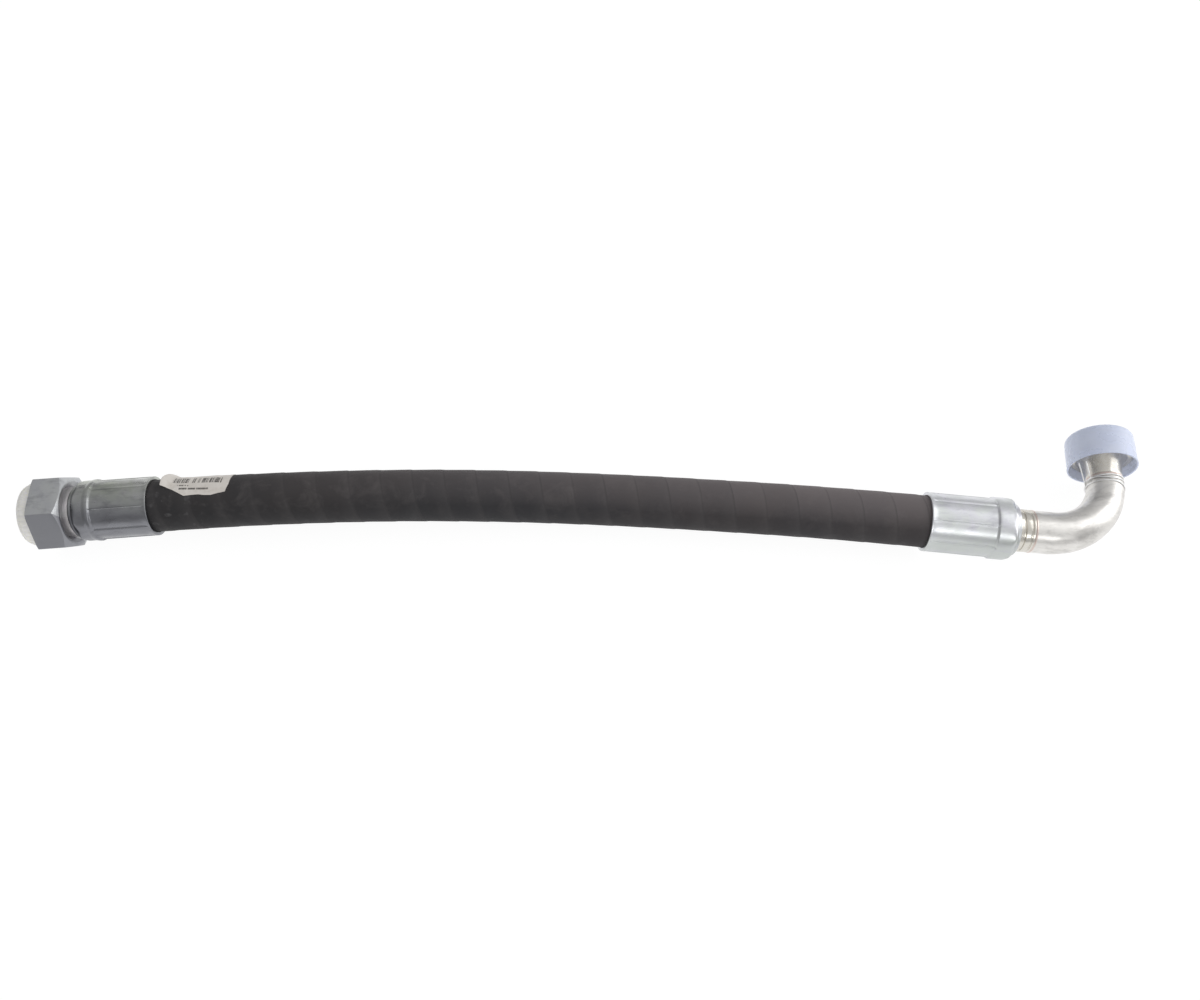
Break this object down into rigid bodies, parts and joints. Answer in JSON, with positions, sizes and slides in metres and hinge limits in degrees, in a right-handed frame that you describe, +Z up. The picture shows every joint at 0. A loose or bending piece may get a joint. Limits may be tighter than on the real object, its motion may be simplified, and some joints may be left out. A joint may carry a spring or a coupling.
{
  "type": "hydraulic hose assembly",
  "caption": "Four-spiral hydraulic hose assembly with a capped swivel nut at one end and a capped 90 degree elbow with a split-flange head at the other.",
  "frame": {"origin": "centre of the bounding box in plan, at the level of the floor that the nut, the elbow ferrule and the flange cap lie on", "axes": "+X runs along the hose from the swivel nut to the elbow; +Y is the side that the elbow turns to; +Z is up, away from the floor"},
  "size_m": [0.9759, 0.1197, 0.06],
  "materials": {
    "inner_rubber": "matt black synthetic rubber",
    "spiral_wire": "brass-coated high-tensile steel wire",
    "cover_rubber": "matt black rubber with the faint spiral marks of its curing wrap",
    "label_paper": "white printed paper sticker",
    "plated_nipple": "yellowish zinc plate with a faint iridescent tint",
    "phosphated_steel": "satin grey-green plated steel",
    "phosphated_nut": "satin grey-green plated steel, machined flats",
    "seal_rubber": "black nitrile",
    "plug_plastic": "off-white moulded polyethylene",
    "zinc_collar": "bright zinc plate, turned",
    "zinc_ferrule": "bright zinc plate, crimped",
    "copper_braze": "copper braze fillet",
    "zinc_tube": "bright zinc plate over drawn tube",
    "zinc_head": "bright zinc plate, turned",
    "cap_plastic": "translucent pale blue polyethylene",
    "wire_metal": "thin bright wire"
  },
  "bodies": {
    "swivel_end": {"swivel_nipple": "plated_nipple", "swivel_ferrule": "phosphated_steel", "cone_o_ring": "seal_rubber", "hose_inner_tube": "inner_rubber", "wire_spiral_1": "spiral_wire", "wire_spiral_2": "spiral_wire", "wire_spiral_3": "spiral_wire", "wire_spiral_4": "spiral_wire", "cushion_layer_1": "inner_rubber", "cushion_layer_2": "inner_rubber", "cushion_layer_3": "inner_rubber", "hose_cover": "cover_rubber", "barcode_label": "label_paper"},
    "nut": {"swivel_nut": "phosphated_nut"},
    "plug": {"nut_plug": "plug_plastic"},
    "elbow_end": {"elbow_nipple": "zinc_collar", "elbow_ferrule": "zinc_ferrule", "nipple_braze_ring": "copper_braze", "elbow_tube": "zinc_tube", "flange_braze_ring": "copper_braze", "flange_head": "zinc_head", "flange_o_ring": "seal_rubber", "tie_wire": "wire_metal"},
    "cap": {"flange_cap": "cap_plastic"}
  },
  "joints": [
    {"name": "nut_spin", "type": "hinge", "parent": "swivel_end", "child": "nut", "pos_m": [-0.4743, -0.0204, 0.03], "axis": [0.9965, 0.0837, 0], "continuous": true},
    {"name": "plug_pull", "type": "slide", "parent": "nut", "child": "plug", "axis": [-0.9965, -0.0837, 0], "range_m": [0, 0.04]},
    {"name": "hose_bend", "type": "hinge", "parent": "swivel_end", "child": "elbow_end", "pos_m": [-0.04446, -0.00199, 0.02657], "axis": [0.0031, -0.0374, 0.9993], "range_deg": [-20, 20], "stiffness_Nm_per_rad": 60, "deforming": ["hose_inner_tube", "wire_spiral_1", "wire_spiral_2", "wire_spiral_3", "wire_spiral_4", "cushion_layer_1", "cushion_layer_2", "cushion_layer_3", "hose_cover", "barcode_label"]},
    {"name": "cap_pull", "type": "slide", "parent": "elbow_end", "child": "cap", "axis": [0.1046, 0.9938, 0.0369], "range_m": [0, 0.045]}
  ]
}
